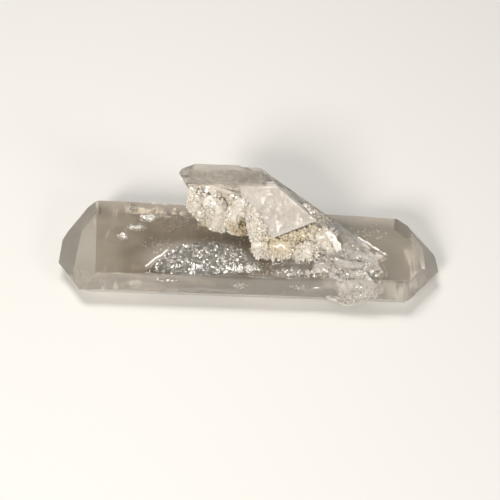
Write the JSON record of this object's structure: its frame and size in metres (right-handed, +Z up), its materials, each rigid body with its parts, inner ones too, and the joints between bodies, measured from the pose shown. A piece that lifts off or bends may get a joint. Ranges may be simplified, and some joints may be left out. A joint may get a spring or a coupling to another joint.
{
  "type": "quartz point",
  "caption": "Clear double-ended quartz crystal lying on a flat prism face, with a second crystal, a druse of small crystals and a chipped patch grown on it.",
  "frame": {"origin": "on the flat prism face that the crystal rests on, below the middle of its length", "axes": "+X along the long crystal towards its right-hand tip, -Y towards the near side, +Z up"},
  "size_m": [0.1193, 0.0363, 0.0277],
  "materials": {
    "clear_quartz": "clear, faintly smoky, with milky zones, glossy faces and frosted growth faces"
  },
  "bodies": {
    "root": {"quartz_point": "clear_quartz"}
  },
  "joints": []
}
